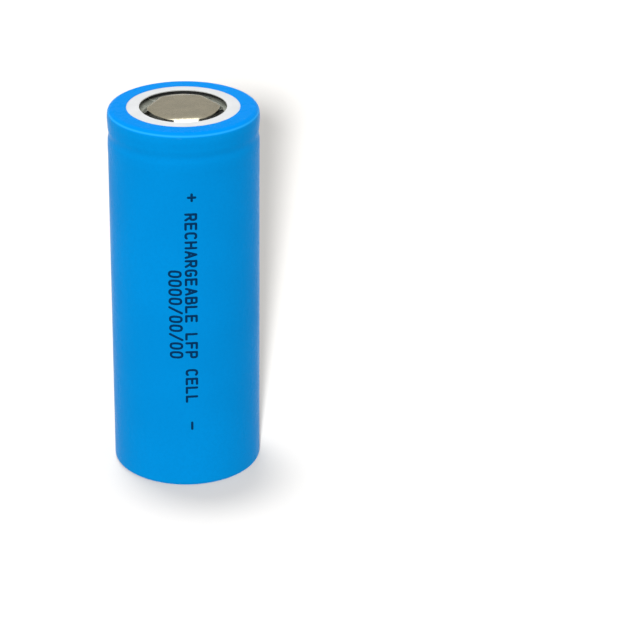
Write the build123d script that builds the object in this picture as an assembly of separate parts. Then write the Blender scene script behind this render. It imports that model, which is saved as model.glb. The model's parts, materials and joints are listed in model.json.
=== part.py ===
from build123d import *
import math
import os

# A sealed cylindrical lithium iron phosphate cell, flat top, in a shrink sleeve.
# Millimetres. Z runs up the cell's axis, from the negative end at z = 0 to the positive contact.

# Driving sizes of the whole cell
CELL_DIAMETER = 25.9
CELL_HEIGHT = 66.5

# Shrink sleeve
SLEEVE_WALL = 0.12
SLEEVE_TOP = CELL_HEIGHT - 0.13
TOP_LIP_RADIUS = 9.72
BOTTOM_LIP_RADIUS = 10.2
SLEEVE_TOP_BEND = 0.95
SLEEVE_DIP_DEPTH = 0.15
SLEEVE_DIP_HALF_WIDTH = 1.1
SLEEVE_DIP_HALF_FLOOR = 0.35
SLEEVE_DIP_BEND = 1.5

# Steel can, with its bead groove and crimped rim
CAN_RADIUS = CELL_DIAMETER / 2 - SLEEVE_WALL
CAN_BASE = SLEEVE_WALL
CAN_WALL = 0.3
CAN_FOOT_BEND = 0.6
CAN_RIM_BEND = 0.7
WELD_MARK_RADIUS = 0.55
WELD_MARK_DEPTH = 0.08
WELD_MARK_SPACING = 2.4
BEAD_BOTTOM = 61.15
BEAD_TOP = 62.65
BEAD_FLOOR_RADIUS = 11.6
BEAD_SHOULDER_BEND = 0.5
BEAD_FLOOR_BEND = 0.45
RIM_INNER_RADIUS = 9.2

# Fibre washer on the rim
WASHER_INNER_RADIUS = 7.65
WASHER_OUTER_RADIUS = 11.95
WASHER_THICKNESS = 0.25
RIM_TOP = SLEEVE_TOP - SLEEVE_WALL - WASHER_THICKNESS

# Crimp gasket, a channel that holds the edges of the cap stack
GASKET_WALL = 0.35
GASKET_FIT = 0.02
GASKET_LIP_RADIUS = 8.6
GASKET_FLOOR_RADIUS = 10.0
GASKET_TOP_BEND = 0.45
GASKET_BOTTOM_BEND = 0.45

# Cap stack, from the gasket's floor up
STACK_RADIUS = 12.05
WELD_PLATE_THICKNESS = 0.4
WELD_PLATE_HOLE_CIRCLE = 6.4
WELD_PLATE_HOLE_RADIUS = 1.0
WELD_PLATE_HOLE_COUNT = 6
VENT_RING_THICKNESS = 0.8
VENT_RING_INNER_RADIUS = 8.6
BURST_DISC_THICKNESS = 0.35
BURST_DISC_RIM_RADIUS = 7.2
BURST_DISC_MEMBRANE_RADIUS = 6.4
BURST_DISC_TOUCH_RADIUS = 1.8
BURST_DISC_BEND = 0.4
SCORE_RADIUS = 4.2
SCORE_WIDTH = 0.2
SCORE_DEPTH = 0.15
SCORE_SWEEP = 300
CAP_SHEET = 0.5
CAP_FLANGE_RADIUS = 12.0
CAP_FLANGE_BORE = 6.9

# Positive contact: a round plateau, cut straight at its three legs, with a window between the legs
LEG_COUNT = 3
FIRST_LEG_ANGLE = 275
PLATEAU_RADIUS = 6.0
LEG_WIDTH = 4.9
PLATEAU_REACH = 5.4
LEG_FOOT_REACH = 6.5
LEG_TOP_BEND = 0.55
LEG_FOOT_BEND = 0.3
LEG_WAIST_REACH = 6.1
LEG_WAIST_RADIUS = 1.2
LEG_WAIST_HALF_WIDTH = 2.1

# Winding: four sheets laid together and wound on a two-centre spiral
WINDING_PITCH = 0.40
CORE_RADIUS = 1.9
SEPARATOR_SHEET = 0.035
ANODE_THICKNESS = 0.13
CATHODE_THICKNESS = 0.18
SHEET_GAP = 0.005
WINDING_BOTTOM = 1.15
WINDING_TOP = 58.8
ANODE_INSET = 0.6
CATHODE_INSET = 1.0
SEPARATOR_TURNS = range(0, 52)
ANODE_TURNS = range(1, 51)
CATHODE_TURNS = range(3, 49)

# Tabs, in pockets of bare foil
TAB_WIDTH = 4.0
TAB_POCKET_GAP = 0.01
POCKET_SIDE_GAP = 0.1
POCKET_END_GAP = 2.0
POSITIVE_TAB_THICKNESS = 0.12
POSITIVE_TAB_HALF_TURN = 24
POSITIVE_TAB_START = 22.0
NEGATIVE_TAB_THICKNESS = 0.1
NEGATIVE_TAB_HALF_TURN = 49
NEGATIVE_TAB_END = 40.0

# Folds of the tabs outside the winding
TAB_OVERLAP = 0.2
TAB_FOLD_BEND = 0.5
TAB_FOOT_BEND = 0.3
TAB_WELD_REACH = 2.6
POSITIVE_FOLD_HEIGHT = 61.2
NEGATIVE_RUN_HEIGHT = 0.56

# Insulating tape: a wrap on each tab and a strip that closes the winding
TAPE_WALL = 0.05
TAPE_GAP = 0.01
POSITIVE_TAPE_SPAN = (59.5, 60.5)
NEGATIVE_TAPE_SPAN = (-9.0, -5.0)
CLOSING_TAPE_RADIUS = 12.44
CLOSING_TAPE_SPAN = (12.0, 47.0)
CLOSING_TAPE_SWEEP = 180

# Insulator discs above and below the winding
INSULATOR_RADIUS = 12.4
UPPER_DISC_BOTTOM = 59.0
UPPER_DISC_THICKNESS = 0.3
UPPER_DISC_BORE = 2.2
UPPER_DISC_HOLE_CIRCLE = 7.0
UPPER_DISC_HOLE_RADIUS = 1.3
UPPER_DISC_HOLE_STEP = 60
UPPER_DISC_HOLE_COUNT = 5
TAB_SLOT_WIDTH = 5.0
TAB_SLOT_DEPTH = 1.6
LOWER_DISC_BOTTOM = 0.84
LOWER_DISC_THICKNESS = 0.25
LOWER_DISC_BORE = 2.5

# Offsets of the winding's sheets within one pitch, from the inside out
ANODE_OFFSET = SEPARATOR_SHEET + SHEET_GAP
OUTER_SEPARATOR_OFFSET = ANODE_OFFSET + ANODE_THICKNESS + SHEET_GAP
CATHODE_OFFSET = OUTER_SEPARATOR_OFFSET + SEPARATOR_SHEET + SHEET_GAP

# Outer faces of the tabs where they lie in the winding
POSITIVE_TAB_RADIUS = (
    CORE_RADIUS
    + CATHODE_OFFSET
    + CATHODE_THICKNESS
    + POSITIVE_TAB_HALF_TURN * WINDING_PITCH / 2
    - TAB_POCKET_GAP
)
NEGATIVE_TAB_RADIUS = (
    CORE_RADIUS + ANODE_OFFSET + ANODE_THICKNESS + NEGATIVE_TAB_HALF_TURN * WINDING_PITCH / 2
)

# Heights that follow from the ones above
CAN_INSIDE_RADIUS = CAN_RADIUS - CAN_WALL
CAN_FLOOR = CAN_BASE + CAN_WALL
RIM_UNDERSIDE = RIM_TOP - CAN_WALL
GASKET_BASE = BEAD_TOP + CAN_WALL
WELD_PLATE_BASE = GASKET_BASE + GASKET_WALL
VENT_RING_BASE = WELD_PLATE_BASE + WELD_PLATE_THICKNESS
CAP_FLANGE_BASE = VENT_RING_BASE + VENT_RING_THICKNESS + BURST_DISC_THICKNESS
CAP_FLANGE_TOP = CAP_FLANGE_BASE + CAP_SHEET


def sheet_section(path, bends, thickness):
    """Section of a bent sheet: one face follows the path, the other lies a thickness to its left."""
    points = [Vector(x, y) for x, y in path]
    runs = [(end - start).normalized() for start, end in zip(points, points[1:])]
    normals = [Vector(-run.Y, run.X) for run in runs]
    far_points = [points[0] + normals[0] * thickness]
    far_bends = []
    for corner, bend in enumerate(bends, start=1):
        before = normals[corner - 1]
        after = normals[corner]
        far_points.append(points[corner] + (before + after) * (thickness / (1 + before.dot(after))))
        left_turn = runs[corner - 1].cross(runs[corner]).Z > 0
        far_bends.append(bend - thickness if left_turn else bend + thickness)
    far_points.append(points[-1] + normals[-1] * thickness)
    near = FilletPolyline(*points, radius=bends)
    far = FilletPolyline(*far_points, radius=far_bends)
    ends = [Line(points[0], far_points[0]), Line(points[-1], far_points[-1])]
    return make_face([near, far] + ends)


def turned(section):
    """Turn a section, drawn as radius and height, about the cell's axis."""
    return revolve(Plane.XZ * section, Axis.Z, 360)


def slab(plan, bottom, top):
    """A plan drawn in XY, made solid between two heights."""
    return Pos(0, 0, bottom) * extrude(plan, top - bottom)


def washer(outer_radius, inner_radius, bottom, thickness):
    """A flat ring."""
    return slab(Circle(outer_radius) - Circle(inner_radius), bottom, bottom + thickness)


def make_sleeve():
    """The shrink sleeve: a thin tube lipped over both ends, dipping where it bridges the bead."""
    radius = CELL_DIAMETER / 2
    dip_radius = radius - SLEEVE_DIP_DEPTH
    dip_middle = (BEAD_BOTTOM + BEAD_TOP) / 2
    outside = [
        (BOTTOM_LIP_RADIUS, 0),
        (radius, 0),
        (radius, dip_middle - SLEEVE_DIP_HALF_WIDTH),
        (dip_radius, dip_middle - SLEEVE_DIP_HALF_FLOOR),
        (dip_radius, dip_middle + SLEEVE_DIP_HALF_FLOOR),
        (radius, dip_middle + SLEEVE_DIP_HALF_WIDTH),
        (radius, SLEEVE_TOP),
        (TOP_LIP_RADIUS, SLEEVE_TOP),
    ]
    bends = [CAN_FOOT_BEND + SLEEVE_WALL] + [SLEEVE_DIP_BEND] * 4 + [SLEEVE_TOP_BEND]
    return turned(sheet_section(outside, bends, SLEEVE_WALL))


def make_can():
    """The drawn can, rolled in at the bead and crimped over at the rim, with two weld marks below."""
    outside = [
        (0, CAN_BASE),
        (CAN_RADIUS, CAN_BASE),
        (CAN_RADIUS, BEAD_BOTTOM),
        (BEAD_FLOOR_RADIUS, BEAD_BOTTOM),
        (BEAD_FLOOR_RADIUS, BEAD_TOP),
        (CAN_RADIUS, BEAD_TOP),
        (CAN_RADIUS, RIM_TOP),
        (RIM_INNER_RADIUS, RIM_TOP),
    ]
    bead_bends = [BEAD_SHOULDER_BEND, BEAD_FLOOR_BEND, BEAD_FLOOR_BEND, BEAD_SHOULDER_BEND]
    bends = [CAN_FOOT_BEND] + bead_bends + [CAN_RIM_BEND]
    can = turned(sheet_section(outside, bends, CAN_WALL))
    for side in (-1, 1):
        mark = Cylinder(WELD_MARK_RADIUS, 2 * WELD_MARK_DEPTH)
        can -= Pos(side * WELD_MARK_SPACING / 2, 0, CAN_BASE) * mark
    return can


def make_gasket():
    """The channel-shaped gasket between the crimped rim and the cap stack."""
    outer_radius = CAN_INSIDE_RADIUS - GASKET_FIT
    outside = [
        (GASKET_FLOOR_RADIUS, GASKET_BASE),
        (outer_radius, GASKET_BASE),
        (outer_radius, RIM_UNDERSIDE),
        (GASKET_LIP_RADIUS, RIM_UNDERSIDE),
    ]
    return turned(sheet_section(outside, [GASKET_BOTTOM_BEND, GASKET_TOP_BEND], GASKET_WALL))


def leg_corner(angle):
    """A corner of the plateau, where a leg's edge meets a window's edge."""
    corner_radius = math.hypot(PLATEAU_REACH, LEG_WIDTH / 2)
    return Vector(corner_radius, 0).rotate(Axis.Z, angle)


def make_plateau():
    """The flat contact: straight edges at the legs and round edges at the windows."""
    leg_half_angle = math.degrees(math.atan2(LEG_WIDTH / 2, PLATEAU_REACH))
    leg_step = 360 / LEG_COUNT
    edges = []
    for leg in range(LEG_COUNT):
        angle = FIRST_LEG_ANGLE + leg * leg_step
        leg_end = leg_corner(angle + leg_half_angle)
        next_leg = leg_corner(angle + leg_step - leg_half_angle)
        window_middle = Vector(PLATEAU_RADIUS, 0).rotate(Axis.Z, angle + leg_step / 2)
        edges.append(Line(leg_corner(angle - leg_half_angle), leg_end))
        edges.append(ThreePointArc(leg_end, window_middle, next_leg))
    return slab(make_face(edges), CELL_HEIGHT - CAP_SHEET, CELL_HEIGHT)


def make_leg():
    """A leg of the cap, along +X: it bends down from the plateau to the flange, with a waist."""
    top_face = [
        (CAP_FLANGE_BORE + CAP_SHEET, CAP_FLANGE_TOP),
        (LEG_FOOT_REACH, CAP_FLANGE_TOP),
        (PLATEAU_REACH, CELL_HEIGHT),
        (PLATEAU_REACH / 2, CELL_HEIGHT),
    ]
    section = sheet_section(top_face, [LEG_FOOT_BEND, LEG_TOP_BEND], CAP_SHEET)
    leg = extrude(Plane.XZ * section, LEG_WIDTH / 2, both=True)
    waist = Cylinder(LEG_WAIST_RADIUS, CELL_HEIGHT)
    for side in (-1, 1):
        waist_offset = side * (LEG_WAIST_HALF_WIDTH + LEG_WAIST_RADIUS)
        leg -= Pos(LEG_WAIST_REACH, waist_offset, CELL_HEIGHT) * waist
    return leg


def make_cap():
    """The pressed cap: flange, three legs and the plateau, in one piece."""
    cap = washer(CAP_FLANGE_RADIUS, CAP_FLANGE_BORE, CAP_FLANGE_BASE, CAP_SHEET) + make_plateau()
    for leg in range(LEG_COUNT):
        cap += Rot(0, 0, FIRST_LEG_ANGLE + leg * 360 / LEG_COUNT) * make_leg()
    return cap


def make_burst_disc():
    """The safety vent: a scored disc, dished down to touch the weld plate at its middle."""
    membrane_top = CAP_FLANGE_BASE - BURST_DISC_THICKNESS
    touch_top = VENT_RING_BASE + BURST_DISC_THICKNESS
    dish_slope = BURST_DISC_RIM_RADIUS - BURST_DISC_MEMBRANE_RADIUS
    top_face = [
        (STACK_RADIUS, CAP_FLANGE_BASE),
        (BURST_DISC_RIM_RADIUS, CAP_FLANGE_BASE),
        (BURST_DISC_MEMBRANE_RADIUS, membrane_top),
        (BURST_DISC_TOUCH_RADIUS + dish_slope, membrane_top),
        (BURST_DISC_TOUCH_RADIUS, touch_top),
        (0, touch_top),
    ]
    disc = turned(sheet_section(top_face, [BURST_DISC_BEND] * 4, BURST_DISC_THICKNESS))
    inner_edge = SCORE_RADIUS - SCORE_WIDTH / 2
    score = arc_strip(0, inner_edge, inner_edge + SCORE_WIDTH, 90, SCORE_SWEEP)
    return disc - slab(score, membrane_top - SCORE_DEPTH, membrane_top + SCORE_DEPTH)


def make_weld_plate():
    """The perforated plate at the bottom of the cap stack."""
    holes = PolarLocations(WELD_PLATE_HOLE_CIRCLE, WELD_PLATE_HOLE_COUNT)
    plate = Circle(STACK_RADIUS) - holes * Circle(WELD_PLATE_HOLE_RADIUS)
    return slab(plate, WELD_PLATE_BASE, WELD_PLATE_BASE + WELD_PLATE_THICKNESS)


def arc_strip(centre_x, inner_radius, outer_radius, middle_angle, sweep):
    """Plan of a thin strip that follows an arc."""
    start = middle_angle - sweep / 2
    inner = CenterArc((centre_x, 0), inner_radius, start, sweep)
    outer = CenterArc((centre_x, 0), outer_radius, start, sweep)
    return make_face([inner, outer, Line(inner @ 0, outer @ 0), Line(inner @ 1, outer @ 1)])


def half_turn_centre(half_turn):
    """Each upper half turn is drawn about one centre and each lower half turn about the other."""
    return WINDING_PITCH / 4 if half_turn % 2 else -WINDING_PITCH / 4


def half_turn_radius(offset, half_turn):
    """Radius of a sheet's face at a half turn, given the face's offset within one pitch."""
    return CORE_RADIUS + offset + half_turn * WINDING_PITCH / 2


def spiral_edges(offset, half_turns):
    """One face of a wound sheet, as a chain of half circles that join smoothly."""
    arcs = []
    for half_turn in half_turns:
        centre = (half_turn_centre(half_turn), 0)
        start_angle = 180 if half_turn % 2 else 0
        arcs.append(CenterArc(centre, half_turn_radius(offset, half_turn), start_angle, 180))
    return arcs


def wound_sheet(offset, thickness, half_turns, bottom, top):
    """A sheet of the winding, from its inner end to its outer end."""
    inner = spiral_edges(offset, half_turns)
    outer = spiral_edges(offset + thickness, half_turns)
    ends = [Line(inner[0] @ 0, outer[0] @ 0), Line(inner[-1] @ 1, outer[-1] @ 1)]
    return slab(make_face(inner + outer + ends), bottom, top)


def sweep_of(width, radius):
    """Angle that a strip of this width covers on this radius, in degrees."""
    return math.degrees(width / radius)


def foil_tab(outer_radius, half_turn, middle_angle, thickness, bottom, top):
    """The part of a tab that lies inside the winding, and the pocket of bare foil it lies in."""
    centre_x = half_turn_centre(half_turn)
    inner_radius = outer_radius - thickness
    pocket_inner = inner_radius - TAB_POCKET_GAP
    pocket_outer = outer_radius + TAB_POCKET_GAP + SHEET_GAP
    strip_sweep = sweep_of(TAB_WIDTH, outer_radius)
    pocket_sweep = sweep_of(TAB_WIDTH + 2 * POCKET_SIDE_GAP, outer_radius)
    strip = arc_strip(centre_x, inner_radius, outer_radius, middle_angle, strip_sweep)
    pocket = arc_strip(centre_x, pocket_inner, pocket_outer, middle_angle, pocket_sweep)
    return slab(strip, bottom, top), slab(pocket, bottom - POCKET_END_GAP, top + POCKET_END_GAP)


def flat_reach(radius, thickness):
    """Distance from the axis to the middle of a flat strip that crosses a curved one."""
    half_sweep = math.radians(sweep_of(TAB_WIDTH, radius) / 2)
    bow = radius * (1 - math.cos(half_sweep))
    return radius - bow / 2 - thickness / 2


def bent_strip(path, bends, thickness):
    """A tab's flat strip, bent in the YZ plane; the path gives distances along Y and heights."""
    return extrude(Plane.YZ * sheet_section(path, bends, thickness), TAB_WIDTH / 2, both=True)


def make_positive_tab():
    """Positive tab and its pocket: up out of the winding, then folded flat under the weld plate."""
    thickness = POSITIVE_TAB_THICKNESS
    weld_height = WELD_PLATE_BASE - thickness
    inner_face = flat_reach(POSITIVE_TAB_RADIUS, thickness) - thickness / 2
    strip, pocket = foil_tab(
        POSITIVE_TAB_RADIUS,
        POSITIVE_TAB_HALF_TURN,
        90,
        thickness,
        POSITIVE_TAB_START,
        WINDING_TOP + TAB_OVERLAP,
    )
    path = [
        (-TAB_WELD_REACH, weld_height),
        (TAB_WELD_REACH, weld_height),
        (inner_face, POSITIVE_FOLD_HEIGHT),
        (inner_face, WINDING_TOP + TAB_OVERLAP / 2),
    ]
    return strip + bent_strip(path, [TAB_FOLD_BEND] * 2, thickness), pocket


def make_negative_tab():
    """Negative tab and its pocket: down out of the winding, then along the floor to its middle."""
    thickness = NEGATIVE_TAB_THICKNESS
    outer_face = flat_reach(NEGATIVE_TAB_RADIUS, thickness) + thickness / 2
    strip, pocket = foil_tab(
        NEGATIVE_TAB_RADIUS,
        NEGATIVE_TAB_HALF_TURN,
        270,
        thickness,
        WINDING_BOTTOM - TAB_OVERLAP,
        NEGATIVE_TAB_END,
    )
    path = [
        (-outer_face, WINDING_BOTTOM - TAB_OVERLAP / 2),
        (-outer_face, NEGATIVE_RUN_HEIGHT),
        (-TAB_WELD_REACH - 1, NEGATIVE_RUN_HEIGHT),
        (-TAB_WELD_REACH, CAN_FLOOR),
        (TAB_WELD_REACH, CAN_FLOOR),
    ]
    bends = [TAB_FOOT_BEND, TAB_FOLD_BEND, TAB_FOLD_BEND]
    return strip + bent_strip(path, bends, thickness), pocket


def tape_wrap(thickness, length):
    """Tape wrapped once round a flat tab: a short tube, its width along X and its length along Z."""
    inner_width = TAB_WIDTH + 2 * TAPE_GAP
    inner_depth = thickness + 2 * TAPE_GAP
    outside = Box(inner_width + 2 * TAPE_WALL, inner_depth + 2 * TAPE_WALL, length)
    return outside - Box(inner_width, inner_depth, 2 * length)


def make_positive_tab_tape():
    """The wrap on the positive tab's upright stretch."""
    bottom, top = POSITIVE_TAPE_SPAN
    reach = flat_reach(POSITIVE_TAB_RADIUS, POSITIVE_TAB_THICKNESS)
    return Pos(0, reach, (bottom + top) / 2) * tape_wrap(POSITIVE_TAB_THICKNESS, top - bottom)


def make_negative_tab_tape():
    """The wrap on the negative tab's run under the winding."""
    start, end = NEGATIVE_TAPE_SPAN
    height = NEGATIVE_RUN_HEIGHT + NEGATIVE_TAB_THICKNESS / 2
    lying = Rot(90, 0, 0) * tape_wrap(NEGATIVE_TAB_THICKNESS, end - start)
    return Pos(0, (start + end) / 2, height) * lying


def make_closing_tape():
    """The strip of tape that holds the outer end of the winding down."""
    outer_radius = CLOSING_TAPE_RADIUS + TAPE_WALL
    strip = arc_strip(0, CLOSING_TAPE_RADIUS, outer_radius, 0, CLOSING_TAPE_SWEEP)
    return slab(strip, *CLOSING_TAPE_SPAN)


def make_upper_disc():
    """The disc above the winding: a bore, filling holes and a slot for the positive tab."""
    disc = Circle(INSULATOR_RADIUS) - Circle(UPPER_DISC_BORE)
    for hole in range(1, UPPER_DISC_HOLE_COUNT + 1):
        turn = Rot(0, 0, hole * UPPER_DISC_HOLE_STEP)
        disc -= turn * Pos(0, UPPER_DISC_HOLE_CIRCLE) * Circle(UPPER_DISC_HOLE_RADIUS)
    disc -= Pos(0, UPPER_DISC_HOLE_CIRCLE) * Rectangle(TAB_SLOT_WIDTH, TAB_SLOT_DEPTH)
    return slab(disc, UPPER_DISC_BOTTOM, UPPER_DISC_BOTTOM + UPPER_DISC_THICKNESS)


def make_lower_disc():
    """The disc below the winding: a bore for welding and a notch for the negative tab."""
    disc = Circle(INSULATOR_RADIUS) - Circle(LOWER_DISC_BORE)
    disc -= Pos(0, -INSULATOR_RADIUS) * Rectangle(TAB_SLOT_WIDTH, TAB_SLOT_DEPTH)
    return slab(disc, LOWER_DISC_BOTTOM, LOWER_DISC_BOTTOM + LOWER_DISC_THICKNESS)


def separator(offset):
    """A separator, longer and taller than the electrodes it keeps apart."""
    return wound_sheet(offset, SEPARATOR_SHEET, SEPARATOR_TURNS, WINDING_BOTTOM, WINDING_TOP)


def electrode(offset, thickness, turns, inset):
    """An electrode, set back from the separators' edges."""
    bottom = WINDING_BOTTOM + inset
    top = WINDING_TOP - inset
    return wound_sheet(offset, thickness, turns, bottom, top)


positive_tab, positive_pocket = make_positive_tab()
negative_tab, negative_pocket = make_negative_tab()
cathode = electrode(CATHODE_OFFSET, CATHODE_THICKNESS, CATHODE_TURNS, CATHODE_INSET)
anode = electrode(ANODE_OFFSET, ANODE_THICKNESS, ANODE_TURNS, ANODE_INSET)

nodes = {
    "shrink_sleeve": make_sleeve(),
    "top_insulator_ring": washer(
        WASHER_OUTER_RADIUS, WASHER_INNER_RADIUS, RIM_TOP, WASHER_THICKNESS
    ),
    "can": make_can(),
    "crimp_gasket": make_gasket(),
    "positive_cap": make_cap(),
    "burst_disc": make_burst_disc(),
    "vent_insulator_ring": washer(
        STACK_RADIUS, VENT_RING_INNER_RADIUS, VENT_RING_BASE, VENT_RING_THICKNESS
    ),
    "weld_plate": make_weld_plate(),
    "upper_insulator_disc": make_upper_disc(),
    "positive_tab": positive_tab,
    "positive_tab_tape": make_positive_tab_tape(),
    "cathode_sheet": cathode - positive_pocket,
    "anode_sheet": anode - negative_pocket,
    "separator_inner": separator(0),
    "separator_outer": separator(OUTER_SEPARATOR_OFFSET),
    "roll_closing_tape": make_closing_tape(),
    "negative_tab": negative_tab,
    "negative_tab_tape": make_negative_tab_tape(),
    "lower_insulator_disc": make_lower_disc(),
}

os.makedirs("parts", exist_ok=True)
for name, shape in nodes.items():
    export_step(shape, f"parts/{name}.step")
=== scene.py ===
import json
import math

import bmesh
import bpy
from mathutils import Matrix, Vector, noise


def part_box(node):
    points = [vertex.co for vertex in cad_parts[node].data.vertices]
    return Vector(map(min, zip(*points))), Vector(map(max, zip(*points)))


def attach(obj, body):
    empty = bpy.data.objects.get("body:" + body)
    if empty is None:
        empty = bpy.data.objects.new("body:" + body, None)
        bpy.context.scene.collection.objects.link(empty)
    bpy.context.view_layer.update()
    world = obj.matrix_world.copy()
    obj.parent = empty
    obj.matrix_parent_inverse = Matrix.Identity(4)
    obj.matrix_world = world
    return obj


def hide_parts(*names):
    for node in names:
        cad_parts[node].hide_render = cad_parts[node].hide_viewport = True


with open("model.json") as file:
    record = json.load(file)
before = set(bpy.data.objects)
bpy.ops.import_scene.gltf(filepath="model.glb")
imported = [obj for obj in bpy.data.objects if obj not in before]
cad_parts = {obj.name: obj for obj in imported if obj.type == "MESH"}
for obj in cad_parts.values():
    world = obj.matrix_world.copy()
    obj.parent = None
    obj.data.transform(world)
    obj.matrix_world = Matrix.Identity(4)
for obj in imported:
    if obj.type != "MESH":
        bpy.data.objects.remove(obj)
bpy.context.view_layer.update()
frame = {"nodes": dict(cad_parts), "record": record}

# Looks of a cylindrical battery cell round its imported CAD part. Blender works in metres; the sizes
# below are in millimetres, and MM turns them into metres where a mesh or a light is made.

MM = 0.001


def box_mm(node):
    """Lowest and highest corner of a CAD node, in millimetres."""
    low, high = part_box(node)
    return low / MM, high / MM


# Places that come from the frame
RADIUS = box_mm("shrink_sleeve")[1].x
SLEEVE_TOP = box_mm("shrink_sleeve")[1].z
FILM = box_mm("can")[0].z
WASHER_BOTTOM = box_mm("top_insulator_ring")[0].z
WASHER_RADIUS = box_mm("top_insulator_ring")[1].x
CAP_TOP = box_mm("positive_cap")[1].z
CAP_RADIUS = box_mm("positive_cap")[1].x

# Edges that turn by more than this many degrees are rounded
SHARP_ANGLE = 50

# Shrink sleeve
SLEEVE_EDGE_ROUND = 0.03
TOP_LIP_RADIUS = 9.72
TOP_BEND = 0.95
BOTTOM_LIP_RADIUS = 10.2
BOTTOM_BEND = 0.72
DIP_HEIGHT = 61.9
DIP_DEPTH = 0.15
DIP_HALF_WIDTH = 1.3
SHOULDER_HEIGHT = 64.6
SHOULDER_SWELL = 0.07
SHOULDER_SPREAD = 0.8
SWELL_HEIGHT = 59.6
SWELL = 0.035
SWELL_SPREAD = 0.9
TOP_LIP_OFF_CENTRE = 0.2
OFF_CENTRE_ANGLE = 95
CREASE_ANGLES = (172, 352)
CREASE_RISE = 0.018
CREASE_WIDTH = 0.22
LONG_WAVE = 0.014
FINE_WAVE = 0.004
LIP_PUCKER = 0.022
LIP_PUCKER_REACH = 1.9
FOOT_WRINKLE = 0.05
TOP_CUT_REACH = 1.5
TOP_CUT_WANDER = (0.06, 0.025)
BOTTOM_CUT_REACH = 1.2
BOTTOM_CUT_WANDER = (0.18, 0.09)

# How finely the sleeve's mesh is divided: columns round it, and rows from the top lip down
SLEEVE_COLUMNS = 256
TOP_LIP_ROWS = 14
TOP_BEND_ROWS = 12
UPPER_WALL_ROWS = 42
MIDDLE_WALL_ROWS = 50
FOOT_WALL_ROWS = 5
BOTTOM_BEND_ROWS = 10
BOTTOM_LIP_ROWS = 12
MIDDLE_WALL_TOP = 57
MIDDLE_WALL_FOOT = 3

# Fibre washer
WASHER_COLUMNS = 192
WASHER_FACE_ROWS = 16
WASHER_EDGE_ROWS = 3
WASHER_BORE = 7.6
WASHER_EDGE = 0.07
WASHER_OFF_CENTRE = 0.47
WASHER_OVAL = 0.14
WASHER_FREE_WIDTH = 1.8
WASHER_LIFT = 0.06
WASHER_WARP = 0.03
WASHER_RAGGED = 0.03
WASHER_TOOTH = 0.006
WASHER_CLEARANCE = 0.01
LIP_MARGIN = 0.1

# Positive cap: a round plateau, cut straight at its three legs, in one pressed sheet
LEG_COUNT = 3
FIRST_LEG_ANGLE = 275
PLATEAU_RADIUS = 6.05
LEG_HALF_WIDTH = 2.45
PLATEAU_REACH = 5.4
FOOT_REACH = 6.5
FLANGE_BORE = 6.9
CAP_SHEET = 0.5
CAP_RISE = 1.15
LEG_TOP_BEND = 1.1
LEG_FOOT_BEND = 0.3
LEG_END = 7.0
WAIST_REACH = 6.1
WAIST_RADIUS = 1.2
WAIST_HALF_WIDTH = 2.1
WINDOW_SLOPE = 8.5
WINDOW_SLOPE_RUN = 0.85
WINDOW_BEND = 0.22
WINDOW_BEND_ANGLE = 60
CUT_EDGE_ROUND = 0.07
LEG_COLUMNS = 16
WINDOW_COLUMNS = 24
BEND_ROWS = 8
WINDOW_SLOPE_ROWS = BEND_ROWS - 2
LEG_SLOPE_ROWS = 6
LEG_FOOT_ROWS = 6
PLATEAU_RINGS = (0.97, 0.9, 0.75, 0.5, 0.25)

# Print on the sleeve, in a plain single-line alphabet
INK_RISE = 0.012
INK_ROOT = 0.02
STROKE_WIDTH = 0.41
STROKE_UNEVENNESS = 0.1
STROKE_WAVE = 3
GLYPH_WIDTH = 1.08
GLYPH_ASPECT = 1.6
GLYPH_SQUARENESS = 0.72
BOWL_TURN = 0.8
ARC_STEP = 12
PRINT_STEP = 0.12

# Looks: the range that most values of a noise texture lie in, the colour sockets of a Mix node,
# and how far below the top of the sleeve or the cap a tint is full or gone: the sleeve's painted
# top light, its painted rim highlight and its scuffs, and the painted sheen on the cap's legs
NOISE_MIDDLE = (0.3, 0.7)
MIX_FIRST, MIX_SECOND, MIX_RESULT = 6, 7, 2
PAINTED_TOP_LIGHT_DROPS = (0.38, 0.98)
PAINTED_RIM_HIGHLIGHT_DROPS = (0.26, 0.48, 0.72)
SCUFF_REACH = 2.4
LEG_PAINTED_SHEEN_DROPS = (0.75, 0.2)

# Camera and set
CAMERA_PLACE = Vector((0, -427.92, 229.99))
CAMERA_YAW = 2.971
CAMERA_PITCH = 25.301
CAMERA_ROLL = 0.554
CAMERA_LENS = 155.08
SENSOR_WIDTH = 36
NEAREST_SEEN = 10
FARTHEST_SEEN = 10000
FLOOR_HALF = 3000
AIM_HEIGHT = 30
SUN_DISTANCE = 1000

# The surround: its brightness by the height of a direction, from 0 at the horizon to 1 overhead
HORIZON_LEVEL = 1.35
BAND_STOPS = ((0.03, 2.3), (0.11, 1.9), (0.19, 0.66), (0.4, 0.66))
BAND_TINT = (1, 0.97, 0.91)
OVERHEAD_START = 0.75
BACKDROP_LEVEL = 1.6


# ---------------------------------------------------------------- mesh helpers

def swell(distance, spread):
    """A smooth bump of height 1, about spread wide to each side."""
    return math.exp(-((distance / spread) ** 2))


def dip(distance, half_width):
    """A smooth dip of depth 1 that ends at half_width."""
    if abs(distance) >= half_width:
        return 0.0
    return 0.5 + 0.5 * math.cos(math.pi * distance / half_width)


def ring_noise(angle, radius, height, seed):
    """Smooth noise that closes on itself round the axis; a larger radius gives finer noise."""
    x = radius * math.cos(angle)
    y = radius * math.sin(angle)
    return noise.noise(Vector((x + seed, y - seed, height + 2.7 * seed)))


def spaced(start, end, count):
    """Count values from start towards end, without end itself."""
    return [start + (end - start) * i / count for i in range(count)]


def aimed_bend(centre_r, centre_z, radius, first, last, count):
    """Points of a round bend in a section, given its centre, radius and angles in degrees; each
    is a radius, a height and the direction back to the bend's centre."""
    points = []
    for degrees in spaced(first, last, count):
        a = math.radians(degrees)
        c, s = math.cos(a), math.sin(a)
        points.append((centre_r + radius * c, centre_z + radius * s, -c, -s))
    return points


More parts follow.
